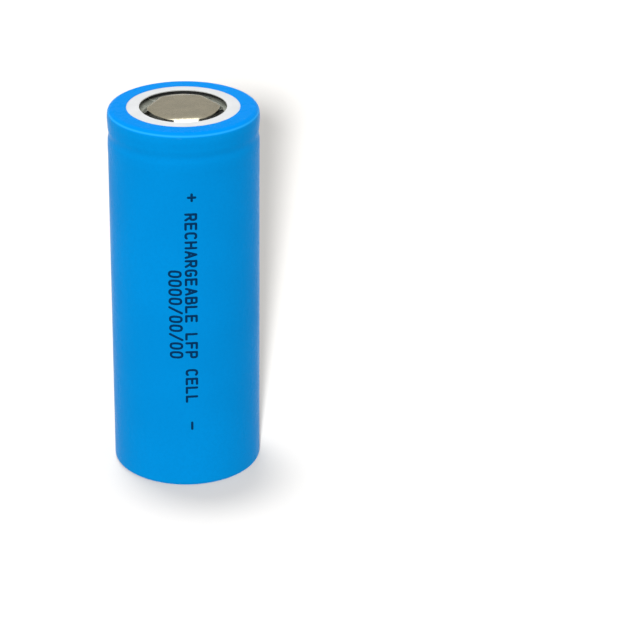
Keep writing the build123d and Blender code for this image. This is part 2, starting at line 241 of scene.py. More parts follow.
def bend(*shape):
    """The same bend, with only a radius and a height to each point."""
    return [(r, z) for r, z, _, _ in aimed_bend(*shape)]


def smooth_piece(name, points, faces, material):
    """A mesh piece from points in millimetres, shaded smooth, riding on the cell's only body."""
    mesh = bpy.data.meshes.new(name)
    mesh.from_pydata([Vector(p) * MM for p in points], [], faces)
    mesh.shade_smooth()
    mesh.materials.append(material)
    piece = bpy.data.objects.new(name, mesh)
    bpy.context.scene.collection.objects.link(piece)
    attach(piece, "root")
    return piece


def ring_faces(rows, columns):
    """Quads of a closed section turned all the way round."""
    faces = []
    for column in range(columns):
        here = column * rows
        there = (column + 1) % columns * rows
        for row in range(rows):
            after = (row + 1) % rows
            faces.append((here + row, here + after, there + after, there + row))
    return faces


# ---------------------------------------------------------------- sleeve

def sleeve_outline():
    """Radius, height and inward direction of the sleeve's outer face, from lip to lip."""
    top_r = RADIUS - TOP_BEND
    top_z = SLEEVE_TOP - TOP_BEND
    foot_r = RADIUS - BOTTOM_BEND
    outline = [(r, SLEEVE_TOP, 0, -1) for r in spaced(TOP_LIP_RADIUS, top_r, TOP_LIP_ROWS)]
    outline += aimed_bend(top_r, top_z, TOP_BEND, 90, 0, TOP_BEND_ROWS)
    heights = spaced(top_z, MIDDLE_WALL_TOP, UPPER_WALL_ROWS)
    heights += spaced(MIDDLE_WALL_TOP, MIDDLE_WALL_FOOT, MIDDLE_WALL_ROWS)
    heights += spaced(MIDDLE_WALL_FOOT, BOTTOM_BEND, FOOT_WALL_ROWS)
    outline += [(RADIUS, z, -1, 0) for z in heights]
    outline += aimed_bend(foot_r, BOTTOM_BEND, BOTTOM_BEND, 0, -90, BOTTOM_BEND_ROWS)
    outline += [(r, 0, 0, 1) for r in spaced(foot_r, BOTTOM_LIP_RADIUS, BOTTOM_LIP_ROWS)]
    outline.append((BOTTOM_LIP_RADIUS, 0, 0, 1))
    return outline


def wall_offset(z):
    """How far the shrunk film stands out from its plain radius at a height."""
    shoulder = SHOULDER_SWELL * swell(z - SHOULDER_HEIGHT, SHOULDER_SPREAD)
    lower = SWELL * swell(z - SWELL_HEIGHT, SWELL_SPREAD)
    return shoulder + lower - DIP_DEPTH * dip(z - DIP_HEIGHT, DIP_HALF_WIDTH)


def crease(angle):
    """The faint ridges left where the tube lay folded flat on its reel."""
    rise = 0.0
    for degrees in CREASE_ANGLES:
        away = (angle - math.radians(degrees) + math.pi) % (2 * math.pi) - math.pi
        rise += swell(away * RADIUS, CREASE_WIDTH)
    return CREASE_RISE * rise


def sleeve_relief(r, z, angle):
    """Fine unevenness of the film's outer face, outwards, in millimetres."""
    relief = LONG_WAVE * ring_noise(angle, 1.6, z / 16, 3.1)
    relief += FINE_WAVE * ring_noise(angle, 7.0, z / 2.2, 8.4)
    if z < SLEEVE_TOP - TOP_BEND:
        relief += crease(angle)
    if z > SLEEVE_TOP - FILM:
        near = max(0.0, 1 - (r - TOP_LIP_RADIUS) / LIP_PUCKER_REACH)
        relief += LIP_PUCKER * near * ring_noise(angle, 9.0, 0.0, 5.2)
    return relief


def foot_wrinkle(r, angle):
    """Radial shrink wrinkles in the lip under the cell; they only lift off the floor."""
    reach = (RADIUS - BOTTOM_BEND - r) / (RADIUS - BOTTOM_BEND - BOTTOM_LIP_RADIUS)
    wave = 0.5 + 0.5 * ring_noise(angle, 11.0, 0.0, 1.7)
    return FOOT_WRINKLE * max(0.0, min(1.0, reach)) * wave


def off_centre(angle, amount):
    """How far a ring's edge moves outwards when the ring sits off the cell's axis."""
    return amount * math.cos(angle - math.radians(OFF_CENTRE_ANGLE))


def lip_shift(r, z, angle):
    """How far a point near a lip's cut edge is moved in or out, because the cut isn't quite even."""
    if z > SLEEVE_TOP - 2 * FILM:
        near = max(0.0, 1 - (r - TOP_LIP_RADIUS) / TOP_CUT_REACH)
        slow, quick = TOP_CUT_WANDER
        wander = slow * ring_noise(angle, 0.9, 0, 6.6) + quick * ring_noise(angle, 4.0, 0, 2.9)
        return near * (wander + off_centre(angle, TOP_LIP_OFF_CENTRE))
    if z < 2 * FILM:
        near = max(0.0, 1 - (r - BOTTOM_LIP_RADIUS) / BOTTOM_CUT_REACH)
        slow, quick = BOTTOM_CUT_WANDER
        return near * (slow * ring_noise(angle, 1.3, 0, 4.3) + quick * ring_noise(angle, 5.0, 0, 9.1))
    return 0.0


def make_sleeve(material):
    """The film as a closed shell: its outer face out and down, then its inner face back up."""
    outline = sleeve_outline()
    points = []
    for column in range(SLEEVE_COLUMNS):
        angle = 2 * math.pi * column / SLEEVE_COLUMNS
        c, s = math.cos(angle), math.sin(angle)
        outer, inner = [], []
        for r, z, in_r, in_z in outline:
            spread = r + wall_offset(z) * abs(in_r) + lip_shift(r, z, angle)
            relief = sleeve_relief(r, z, angle)
            if in_z == 1:
                relief = -foot_wrinkle(r, angle)
            outer.append((spread - in_r * relief, z - in_z * relief))
            inner.append((spread + in_r * FILM, z + in_z * FILM))
        for r, z in outer + inner[::-1]:
            points.append((r * c, r * s, max(z, 0.0)))
    faces = ring_faces(2 * len(outline), SLEEVE_COLUMNS)
    sleeve = smooth_piece("sleeve_body", points, faces, material)
    soften(sleeve, SLEEVE_EDGE_ROUND)
    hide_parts("shrink_sleeve")


def soften(piece, width):
    """Round the sharp edges of a piece and keep the result as its mesh."""
    rounding = piece.modifiers.new("round", "BEVEL")
    rounding.width = width * MM
    rounding.segments = 2
    rounding.limit_method = "ANGLE"
    rounding.angle_limit = math.radians(SHARP_ANGLE)
    graph = bpy.context.evaluated_depsgraph_get()
    rounded = bpy.data.meshes.new_from_object(piece.evaluated_get(graph))
    rounded.name = piece.name
    piece.modifiers.clear()
    piece.data = rounded


# ---------------------------------------------------------------- washer

def washer_section():
    """Closed section of the washer: a thin strip of fibre with softened, punched edges."""
    edge = WASHER_EDGE
    inner = WASHER_BORE + edge
    outer = WASHER_RADIUS - edge
    top = SLEEVE_TOP - FILM - WASHER_CLEARANCE - edge
    bottom = WASHER_BOTTOM + edge
    section = [(r, top + edge) for r in spaced(inner, outer, WASHER_FACE_ROWS)]
    section += bend(outer, top, edge, 90, 0, WASHER_EDGE_ROWS)
    section += bend(outer, bottom, edge, 0, -90, WASHER_EDGE_ROWS)
    section += [(r, bottom - edge) for r in spaced(outer, inner, WASHER_FACE_ROWS)]
    section += bend(inner, bottom, edge, 270, 180, WASHER_EDGE_ROWS)
    section += bend(inner, top, edge, 180, 90, WASHER_EDGE_ROWS)
    return section


def make_washer(material):
    """The white fibre washer: its free inner part is lifted and warped a little, and its bore is
    punched a little off the cell's axis."""
    section = washer_section()
    points = []
    for column in range(WASHER_COLUMNS):
        angle = 2 * math.pi * column / WASHER_COLUMNS
        c, s = math.cos(angle), math.sin(angle)
        for r, z in section:
            free = max(0.0, 1 - (r - WASHER_BORE) / WASHER_FREE_WIDTH)
            warp = free * (WASHER_LIFT + WASHER_WARP * ring_noise(angle, 0.8, 0, 7.3))
            shift = WASHER_RAGGED * free * ring_noise(angle, 9.0, 0.8 * z, 2.2)
            shift += free * off_centre(angle, WASHER_OFF_CENTRE)
            shift += free * off_centre(2 * angle - math.radians(OFF_CENTRE_ANGLE), WASHER_OVAL)
            tooth = WASHER_TOOTH * ring_noise(angle, 20.0, 2.5 * r, 1.1)
            bare = r < TOP_LIP_RADIUS - LIP_MARGIN
            at = r + shift
            points.append((at * c, at * s, z + warp + tooth * bare))
    faces = ring_faces(len(section), WASHER_COLUMNS)
    washer = smooth_piece("fibre_washer", points, faces, material)
    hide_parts("top_insulator_ring")


# ---------------------------------------------------------------- positive cap

def leg_section():
    """Reach and drop of a leg's upper face, from the plateau's edge down to the flange."""
    run = FOOT_REACH - PLATEAU_REACH
    slope = math.atan2(CAP_RISE, run)
    top_cut = LEG_TOP_BEND * math.tan(slope / 2)
    foot_cut = LEG_FOOT_BEND * math.tan(slope / 2)
    section = []
    for part in spaced(0, 1, BEND_ROWS):
        a = slope * part
        section.append((
            PLATEAU_REACH - top_cut + LEG_TOP_BEND * math.sin(a),
            LEG_TOP_BEND * (1 - math.cos(a)),
        ))
    length = math.hypot(run, CAP_RISE) - top_cut - foot_cut
    for along in spaced(top_cut, top_cut + length, LEG_SLOPE_ROWS):
        section.append((PLATEAU_REACH + along * math.cos(slope), along * math.sin(slope)))
    for part in spaced(0, 1, LEG_FOOT_ROWS) + [1]:
        a = slope * (1 - part)
        section.append((
            FOOT_REACH + foot_cut - LEG_FOOT_BEND * math.sin(a),
            CAP_RISE - LEG_FOOT_BEND * (1 - math.cos(a)),
        ))
    section.append((LEG_END, CAP_RISE))
    return section


def leg_half_width(reach):
    """Half of a leg's width, narrowed by the round notch on each side."""
    away = abs(reach - WAIST_REACH)
    if away >= WAIST_RADIUS:
        return LEG_HALF_WIDTH
    notch = WAIST_HALF_WIDTH + WAIST_RADIUS - math.sqrt(WAIST_RADIUS**2 - away**2)
    return min(LEG_HALF_WIDTH, notch)


def leg_angle(leg):
    """The direction that a leg points in, seen from above."""
    return math.radians(FIRST_LEG_ANGLE + leg * 360 / LEG_COUNT)


def turned_point(reach, side, angle):
    """A point in plan, given along and across a leg that stands at an angle."""
    c, s = math.cos(angle), math.sin(angle)
    return reach * c - side * s, reach * s + side * c


def window_profile():
    """Reach past the flat's rim, and drop, down a window's edge at its middle: a gentle slope, then
    a small bend."""
    slope = math.radians(WINDOW_SLOPE)
    runs = spaced(0, WINDOW_SLOPE_RUN, WINDOW_SLOPE_ROWS)
    profile = [(run, run * math.tan(slope)) for run in runs]
    for degrees in (WINDOW_SLOPE, (WINDOW_SLOPE + WINDOW_BEND_ANGLE) / 2, WINDOW_BEND_ANGLE):
        a = math.radians(degrees)
        run = WINDOW_SLOPE_RUN + WINDOW_BEND * (math.sin(a) - math.sin(slope))
        drop = WINDOW_SLOPE_RUN * math.tan(slope) + WINDOW_BEND * (math.cos(slope) - math.cos(a))
        profile.append((run, drop))
    return profile


def window_section(section, turn, row):
    """Reach past the flat's rim, and drop, of a window's edge: like a leg's bend at the window's
    two ends (turn -1 and 1), and its own profile at its middle (turn 0)."""
    leg_out = section[row][0] - section[0][0]
    leg_drop = section[row][1]
    middle_out, middle_drop = window_profile()[row]
    share = 1 - turn**2
    return leg_out + (middle_out - leg_out) * share, leg_drop + (middle_drop - leg_drop) * share


def plateau_rim(section):
    """Plan of the flat's rim: a leg's edge, then a window's round edge, three times over."""
    start_reach = section[0][0]
    window_radius = PLATEAU_RADIUS - window_section(section, 0, BEND_ROWS)[0]
    half_angle = math.atan2(LEG_HALF_WIDTH, start_reach)
    corner = math.hypot(LEG_HALF_WIDTH, start_reach)
    half_window = math.pi / LEG_COUNT - half_angle
    rim = []
    for leg in range(LEG_COUNT):
        angle = leg_angle(leg)
        for side in spaced(-LEG_HALF_WIDTH, LEG_HALF_WIDTH, LEG_COLUMNS):
            rim.append(turned_point(start_reach, side, angle))
        middle = angle + math.pi / LEG_COUNT
        for turn in spaced(-1, 1, WINDOW_COLUMNS):
            radius = window_radius + (corner - window_radius) * turn**2
            rim.append(turned_point(radius, 0, middle + half_window * turn))
    return rim


def add_plateau(mesh, rim):
    """Fill the plateau from its rim inwards with rings of quads and a last fan."""
    outer = rim
    for scale in PLATEAU_RINGS:
        inner = [mesh.verts.new((v.co.x * scale, v.co.y * scale, v.co.z)) for v in rim]
        for i in range(len(rim)):
            j = (i + 1) % len(rim)
            mesh.faces.new((outer[i], outer[j], inner[j], inner[i]))
        outer = inner
    centre = mesh.verts.new((0, 0, rim[0].co.z))
    for i in range(len(rim)):
        mesh.faces.new((outer[i], outer[(i + 1) % len(rim)], centre))


def add_leg(mesh, edge, section, angle):
    """One leg, as rows of quads that go down its section; returns the rows."""
    rows = [edge]
    for reach, drop in section[1:]:
        half = leg_half_width(reach)
        row = []
        for column in range(LEG_COLUMNS + 1):
            side = half * (2 * column / LEG_COLUMNS - 1)
            x, y = turned_point(reach, side, angle)
            row.append(mesh.verts.new((x * MM, y * MM, (CAP_TOP - drop) * MM)))
        rows.append(row)
    add_strips(mesh, rows)
    return rows


def add_strips(mesh, rows):
    """Quads between each row of vertices and the next."""
    for above, below in zip(rows, rows[1:]):
        for i in range(len(above) - 1):
            mesh.faces.new((above[i], below[i], below[i + 1], above[i + 1]))


def add_window_edge(mesh, edge, section, before, after):
    """The plateau's rounded edge at a window, joined to the legs on both sides of it."""
    rows = [edge]
    turns = spaced(-1, 1, WINDOW_COLUMNS)[1:]
    for k in range(1, BEND_ROWS + 1):
        row = [before[k][-1]]
        for vertex, turn in zip(edge[1:-1], turns):
            out, drop = window_section(section, turn, k)
            flat = Vector((vertex.co.x, vertex.co.y, 0))
            x, y, _ = flat + flat.normalized() * out * MM
            row.append(mesh.verts.new((x, y, (CAP_TOP - drop) * MM)))
        rows.append(row + [after[k][0]])
    add_strips(mesh, rows)


def flange_outline(rows, section):
    """The part of a leg's outline that lies on the flange, from one side round to the other."""
    low = [row for row, (reach, drop) in zip(rows, section) if drop >= CAP_RISE]
    return [row[0] for row in low[:-1]] + low[-1] + [row[-1] for row in low[-2::-1]]


def add_flange(mesh, outlines):
    """The flat flange, from the bore and the legs' feet out to its rim."""
    flange_z = (CAP_TOP - CAP_RISE) * MM
    inner = []
    for leg, outline in enumerate(outlines):
        inner += outline
        first = math.atan2(outline[-1].co.y, outline[-1].co.x)
        following = outlines[(leg + 1) % LEG_COUNT][0]
        last = math.atan2(following.co.y, following.co.x)
        sweep = (last - first) % (2 * math.pi)
        for part in spaced(0, 1, WINDOW_COLUMNS)[1:]:
            a = first + sweep * part
            bore = FLANGE_BORE * MM
            inner.append(mesh.verts.new((bore * math.cos(a), bore * math.sin(a), flange_z)))
    outer = []
    for vertex in inner:
        a = math.atan2(vertex.co.y, vertex.co.x)
        rim = CAP_RADIUS * MM
        outer.append(mesh.verts.new((rim * math.cos(a), rim * math.sin(a), flange_z)))
    for i in range(len(inner)):
        j = (i + 1) % len(inner)
        mesh.faces.new((inner[i], outer[i], outer[j], inner[j]))


def make_cap(material):
    """The pressed cap: one sheet through the plateau, the legs and the flange, with rounded edges."""
    section = leg_section()
    mesh = bmesh.new()
    rim = [mesh.verts.new((x * MM, y * MM, CAP_TOP * MM)) for x, y in plateau_rim(section)]
    add_plateau(mesh, rim)
    step = LEG_COLUMNS + WINDOW_COLUMNS
    around = rim + rim[:1]
    legs = []
    for leg in range(LEG_COUNT):
        edge = around[leg * step:leg * step + LEG_COLUMNS + 1]
        legs.append(add_leg(mesh, edge, section, leg_angle(leg)))
    for leg in range(LEG_COUNT):
        edge = around[leg * step + LEG_COLUMNS:(leg + 1) * step + 1]
        add_window_edge(mesh, edge, section, legs[leg], legs[(leg + 1) % LEG_COUNT])
    outlines = [flange_outline(rows, section) for rows in legs]
    add_flange(mesh, outlines)
    bmesh.ops.recalc_face_normals(mesh, faces=mesh.faces)
    data = bpy.data.meshes.new("cap_pressing")
    mesh.to_mesh(data)
    mesh.free()
    data.shade_smooth()
    data.materials.append(material)
    cap = bpy.data.objects.new("cap_pressing", data)
    bpy.context.scene.collection.objects.link(cap)
    if data.polygons[0].normal.z < 0:
        data.flip_normals()
    sheet = cap.modifiers.new("sheet", "SOLIDIFY")
    sheet.thickness = CAP_SHEET * MM
    sheet.offset = -1
    soften(cap, CUT_EDGE_ROUND)
    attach(cap, "root")
    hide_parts("positive_cap")


# ---------------------------------------------------------------- print

def squared(value):
    """A cosine or sine pushed outwards, so that an ellipse gets squarer corners."""
    return math.copysign(abs(value) ** GLYPH_SQUARENESS, value)


def arc(x, y, half_width, half_height, first, last):
    """Points of a squarish arc in a glyph's own unit square; angles in degrees."""
    count = round(abs(last - first) / ARC_STEP)
    points = []
    for i in range(count + 1):
        a = math.radians(first + (last - first) * i / count)
        points.append((x + half_width * squared(math.cos(a)), y + half_height * squared(math.sin(a))))
    return points


def bowl(low, high, reach):
    """A letter's bowl, from the stem out and back between two heights."""
    middle = (low + high) / 2
    half = (high - low) / 2
    turn = reach - half * GLYPH_ASPECT * BOWL_TURN
    return [(0, high)] + arc(turn, middle, reach - turn, half, 90, -90) + [(0, low)]


STEM = [(0, 0), (0, 1)]

# The strokes of each character, in a square that is 1 wide and 1 tall
GLYPHS = {
    "+": [[(-0.19, 0.6), (0.89, 0.6)], [(0.35, 0.26), (0.35, 0.94)]],
    "-": [[(-0.06, 0.5), (1.06, 0.5)]],
    "/": [[(0.02, -0.04), (0.98, 1.04)]],
    "0": [arc(0.5, 0.5, 0.46, 0.5, 90, 450)],
    "A": [[(0, 0), (0.5, 1)], [(0.5, 1), (1, 0)], [(0.18, 0.34), (0.82, 0.34)]],
    "B": [STEM, bowl(0.54, 1, 0.88), bowl(0, 0.54, 0.96)],
    "C": [arc(0.5, 0.5, 0.48, 0.5, 48, 312)],
    "E": [STEM, [(0, 1), (0.92, 1)], [(0, 0.53), (0.82, 0.53)], [(0, 0), (0.94, 0)]],
    "F": [STEM, [(0, 1), (0.92, 1)], [(0, 0.52), (0.8, 0.52)]],
    "G": [
        arc(0.5, 0.5, 0.48, 0.5, 48, 325),
        [(0.93, 0.2), (0.93, 0.46)],
        [(0.93, 0.46), (0.56, 0.46)],
    ],
    "H": [STEM, [(0.96, 0), (0.96, 1)], [(0, 0.52), (0.96, 0.52)]],
    "L": [STEM, [(0, 0), (0.9, 0)]],
    "P": [STEM, bowl(0.46, 1, 0.92)],
    "R": [STEM, bowl(0.48, 1, 0.9), [(0.46, 0.48), (0.96, 0)]],
}

# Each line's text, the height of its first character's middle, the pitch of its characters, the
# angles of its first and last character round the cell, and how tall its letters are
PRINT_LINES = (
    ("+ RECHARGEABLE LFP CELL  -", 54.8, 1.714, 274.5, 273.8, 1.76),
    ("0000/00/00", 40.9, 1.69, 262.0, 262.5, 1.95),
)


def divided(points):
    """A path's points in millimetres, with long stretches divided so that they can curve."""
    path = [Vector(points[0])]
    for start, end in zip(points, points[1:]):
        run = Vector(end) - Vector(start)
        count = max(1, math.ceil(run.length / PRINT_STEP))
        path += [Vector(start) + run * (i + 1) / count for i in range(count)]
    return path


def stroke_rows(path, seed):
    """Left and right edge of a stroke along its path, a little uneven as printed ink is."""
    left, right = [], []
    for i, point in enumerate(path):
        run = path[min(i + 1, len(path) - 1)] - path[max(i - 1, 0)]
        across = Vector((-run.y, run.x)).normalized()
        for edge, side, lane in ((left, 1, 0), (right, -1, 5)):
            wave = noise.noise(Vector((i / STROKE_WAVE, seed, lane)))
            half = side * STROKE_WIDTH / 2
            edge.append(point + across * half * (1 + STROKE_UNEVENNESS * wave))
    return left, right


def round_end(start, end):
    """Points of a half circle from start to end, turning to the right, without its ends."""
    centre = (start + end) / 2
    arm = start - centre
    points = []
    for degrees in range(-30, -180, -30):
        a = math.radians(degrees)
        points.append(centre + Matrix.Rotation(a, 2) @ arm)
    return points


def on_sleeve(point, place, height):
    """Wrap a point of the print round the sleeve: text runs down, its top towards larger angles."""
    z, angle = place
    at_z = z - point.x
    r = RADIUS + wall_offset(at_z) + height
    at_angle = angle + point.y / RADIUS
    r += sleeve_relief(RADIUS, at_z, at_angle)
    return r * math.cos(at_angle), r * math.sin(at_angle), at_z


def add_stroke(points, faces, path, place, seed):
    """One stroke of ink as a thin closed solid with round ends."""
    left, right = stroke_rows(path, seed)
    end_cap = round_end(left[-1], right[-1])
    start_cap = round_end(right[0], left[0])
    outline = left + end_cap + right[::-1] + start_cap
    count = len(path)
    size = len(outline)
    top = len(points)
    points += [on_sleeve(p, place, INK_RISE) for p in outline]
    points += [on_sleeve(p, place, -INK_ROOT) for p in outline]
    caps = len(end_cap)
    for level, flip in ((top, False), (top + size, True)):
        sheet = []
        for i in range(count - 1):
            mirror = 2 * count + caps - 1 - i
            sheet.append((level + i, level + mirror, level + mirror - 1, level + i + 1))
        sheet.append([level + count - 1 + i for i in range(caps + 2)][::-1])
        sheet.append([level + 2 * count + caps - 1 + i for i in range(caps + 1)][::-1] + [level])
        faces += [tuple(face[::-1]) if flip else tuple(face) for face in sheet]
    for i in range(size):
        j = (i + 1) % size
        faces.append((top + i, top + j, top + size + j, top + size + i))


def make_print(material):
    """Generic wording in place of the maker's, in two lines down the side."""
    points, faces = [], []
    for text, first_z, pitch, first_angle, last_angle, height in PRINT_LINES:
        for i, letter in enumerate(text):
            share = i / (len(text) - 1)
            angle = math.radians(first_angle + (last_angle - first_angle) * share)
            place = (first_z - i * pitch, angle)
            for number, stroke in enumerate(GLYPHS.get(letter, [])):
                sized = [
                    ((x - 0.5) * GLYPH_WIDTH, (y - 0.5) * height)
                    for x, y in stroke
                ]
                add_stroke(points, faces, divided(sized), place, 7 * i + number)
    printed = smooth_piece("sleeve_print", points, faces, material)
    mesh = bmesh.new()
    mesh.from_mesh(printed.data)
    bmesh.ops.recalc_face_normals(mesh, faces=mesh.faces)
    mesh.to_mesh(printed.data)
    mesh.free()


# ---------------------------------------------------------------- materials

class Finish:
    """One procedural material: a Principled shader fed by textures in the object's own space."""

    def __init__(self, name, metallic=0.0, specular=0.5):
        self.material = bpy.data.materials.new(name)
        self.material.use_nodes = True
        self.tree = self.material.node_tree
        self.shader = self.tree.nodes["Principled BSDF"]
        self.shader.inputs["Metallic"].default_value = metallic
        self.shader.inputs["Specular IOR Level"].default_value = specular
        self.place = self.tree.nodes.new("ShaderNodeTexCoord").outputs["Object"]
        self.last_normal = None
        self.tint = None

    def link(self, output, target):
        """Join two sockets; the output is handed back for the next use."""
        self.tree.links.new(output, target)
        return output

    def stretched(self, per_mm):
        """The object's space, scaled so that 1 unit is 1/per_mm millimetres along each axis."""
        mapping = self.tree.nodes.new("ShaderNodeMapping")
        mapping.inputs["Scale"].default_value = [n / MM for n in per_mm]
        self.link(self.place, mapping.inputs["Vector"])
        return mapping.outputs["Vector"]

    def noise(self, per_mm, detail=3.0, roughness=0.5, distortion=0.0):
        """Noise between 0 and 1 with about per_mm features in a millimetre along each axis."""
        texture = self.tree.nodes.new("ShaderNodeTexNoise")
        texture.inputs["Scale"].default_value = 1.0
        texture.inputs["Detail"].default_value = detail
        texture.inputs["Roughness"].default_value = roughness
        texture.inputs["Distortion"].default_value = distortion
        self.link(self.stretched(per_mm), texture.inputs["Vector"])
        return texture.outputs["Fac"]

    def clouds(self, low, high, *pattern):
        """Soft patches between two values; what follows them says which noise they come from."""
        return self.levels(self.noise(*pattern), *NOISE_MIDDLE, low, high)

    def rings(self, per_mm, distortion):
        """Fine turned rings about the cell's axis."""
        texture = self.tree.nodes.new("ShaderNodeTexWave")
        texture.wave_type = "RINGS"
        texture.rings_direction = "Z"
        texture.inputs["Scale"].default_value = 1.0
        texture.inputs["Distortion"].default_value = distortion
        texture.inputs["Detail"].default_value = 3.0
        self.link(self.stretched((per_mm, per_mm, per_mm)), texture.inputs["Vector"])
        return texture.outputs["Fac"]

    def cells(self, per_mm):
        """Distance to the nearest of scattered points: grains or pores."""
        texture = self.tree.nodes.new("ShaderNodeTexVoronoi")
        texture.inputs["Scale"].default_value = 1.0
        self.link(self.stretched(per_mm), texture.inputs["Vector"])
        return texture.outputs["Distance"]

    def height_mask(self, full, none):
        """1 at one height along the cell and 0 at another, in millimetres, smooth between."""
        split = self.tree.nodes.new("ShaderNodeSeparateXYZ")
        self.link(self.place, split.inputs["Vector"])
        return self.levels(split.outputs["Z"], none * MM, full * MM, 0.0, 1.0)

    def levels(self, value, from_low, from_high, low, high):
        """A value stretched from one range to another and held inside it."""
        remap = self.tree.nodes.new("ShaderNodeMapRange")
        remap.interpolation_type = "SMOOTHSTEP"
        remap.inputs["From Min"].default_value = from_low
        remap.inputs["From Max"].default_value = from_high
        remap.inputs["To Min"].default_value = low
        remap.inputs["To Max"].default_value = high
        self.link(value, remap.inputs["Value"])
        return remap.outputs["Result"]

    def product(self, first, second):
        """Two values multiplied."""
        maths = self.tree.nodes.new("ShaderNodeMath")
        maths.operation = "MULTIPLY"
        self.link(first, maths.inputs[0])
        self.link(second, maths.inputs[1])
        return maths.outputs["Value"]

    def colours(self, factor, first, second):
        """A colour between two, by a factor; either end may be the output of another mix."""
        mix = self.tree.nodes.new("ShaderNodeMix")
        mix.data_type = "RGBA"
        self.link(factor, mix.inputs["Factor"])
        for number, colour in ((MIX_FIRST, first), (MIX_SECOND, second)):
            if isinstance(colour, bpy.types.NodeSocket):
                self.link(colour, mix.inputs[number])
            else:
                mix.inputs[number].default_value = (*colour, 1)
        return mix.outputs[MIX_RESULT]

    def base(self, colour):
        """Set the base colour, which stays at hand as tint for a later mix over it."""
        self.tint = self.link(colour, self.shader.inputs["Base Color"])

    def roughness(self, value):
        """Set the roughness."""
        self.link(value, self.shader.inputs["Roughness"])

    def bump(self, height, depth):
        """Relief of a given depth in millimetres, on top of any relief given before."""
        relief = self.tree.nodes.new("ShaderNodeBump")
        relief.inputs["Distance"].default_value = depth * MM
        self.link(height, relief.inputs["Height"])
        if self.last_normal is not None:
            self.link(self.last_normal, relief.inputs["Normal"])
        self.last_normal = relief.outputs["Normal"]
        self.link(self.last_normal, self.shader.inputs["Normal"])


def sleeve_film():
    """Blue shrink film: smooth, satin and a little mottled. Its top lip and bend are painted paler,
    as painted light from above, and are scuffed; a painted highlight runs round the bend as a bright
    line."""
    film = Finish("sleeve_film", specular=0.011)
    mottle = film.clouds(0, 1, (0.05, 0.05, 0.05), 2)
    tint = film.colours(mottle, (0.0, 0.262, 0.69), (0.0, 0.282, 0.74))
    grain = film.levels(film.noise((2.2, 2.2, 2.2), 2), 0.35, 0.75, 0, 0.35)
    tint = film.colours(grain, tint, (0.0, 0.236, 0.65))
    # Painted light: the top lip and bend are painted a paler blue, as if lit more from above
    full, none = (SLEEVE_TOP - drop for drop in PAINTED_TOP_LIGHT_DROPS)
    tint = film.colours(film.height_mask(full, none), tint, (0.0, 0.275, 0.85))
    # Painted highlight: a bright line painted round the bend, where light catches the shoulder
    highlight_top, highlight_peak, highlight_foot = (SLEEVE_TOP - drop for drop in PAINTED_RIM_HIGHLIGHT_DROPS)
    painted_rim_highlight = film.product(film.height_mask(highlight_peak, highlight_foot), film.height_mask(highlight_peak, highlight_top))
    tint = film.colours(painted_rim_highlight, tint, (0.02, 0.40, 0.95))
    worn = film.height_mask(SLEEVE_TOP, SLEEVE_TOP - SCUFF_REACH)
    scuffs = film.levels(film.noise((0.9, 0.9, 2.6), 6, 0.7, 0.6), 0.6, 0.74, 0, 0.35)
    tint = film.colours(film.product(worn, scuffs), tint, (0.08, 0.38, 0.88))
    film.base(tint)
    film.roughness(film.clouds(0.22, 0.34, (0.25, 0.25, 0.12), 5, 0.6))
    film.bump(film.noise((1.1, 1.1, 0.35), 3), 0.012)
    film.bump(film.noise((9, 9, 9), 2), 0.0015)
    return film.material


def print_ink():
    """Blue-black ink, matt, thinner in places."""
    ink = Finish("print_ink", specular=0.03)
    cover = ink.levels(ink.noise((3.5, 3.5, 3.5), 4, 0.6), 0.45, 0.8, 0, 0.5)
    ink.base(ink.colours(cover, (0.0, 0.032, 0.11), (0.0, 0.062, 0.19)))
    ink.roughness(ink.clouds(0.5, 0.7, (1.2, 1.2, 1.2), 3))
    ink.bump(ink.noise((14, 14, 14), 2), 0.004)
    return ink.material


def washer_fibre():
    """White pressed fibre: matt, with fine fibres and a few specks."""
    fibre = Finish("washer_fibre", specular=0.2)
    cloud = fibre.clouds(0, 1, (0.35, 0.35, 0.35), 3)
    tint = fibre.colours(cloud, (0.765, 0.78, 0.80), (0.72, 0.735, 0.75))
    speck = fibre.levels(fibre.noise((7, 7, 7), 2, 0.7), 0.68, 0.78, 0, 0.5)
    fibre.base(fibre.colours(speck, tint, (0.5, 0.47, 0.41)))
    fibre.roughness(fibre.clouds(0.78, 0.95, (2, 2, 2), 3))
    fibre.bump(fibre.noise((12, 2.2, 6), 3, 0.6, 1.5), 0.012)
    fibre.bump(fibre.noise((2.4, 11, 6), 3, 0.6, 1.5), 0.012)
    return fibre.material


def sheet_metal(name, bright, dull, roughness, grain, grain_depth, specks=0.4, metallic=1.0):
    """Rolled or plated sheet: fine grain along one way, cloudy patches and dark specks."""
    metal = Finish(name, metallic=metallic)
    cloud = metal.clouds(0, 1, (0.4, 0.4, 0.4), 4, 0.6)
    tint = metal.colours(cloud, bright, dull)
    dark = tuple(0.55 * part for part in dull)
    speck = metal.levels(metal.noise((3.2, 3.2, 3.2), 5, 0.75), 0.6, 0.78, 0, specks)
    metal.base(metal.colours(speck, tint, dark))
    streak = metal.noise(grain, 4, 0.6)
    low, high = roughness
    metal.roughness(metal.levels(streak, *NOISE_MIDDLE, low, high))
    metal.bump(streak, grain_depth)
    metal.bump(metal.noise((0.5, 0.5, 0.5), 2), 0.02)
    return metal


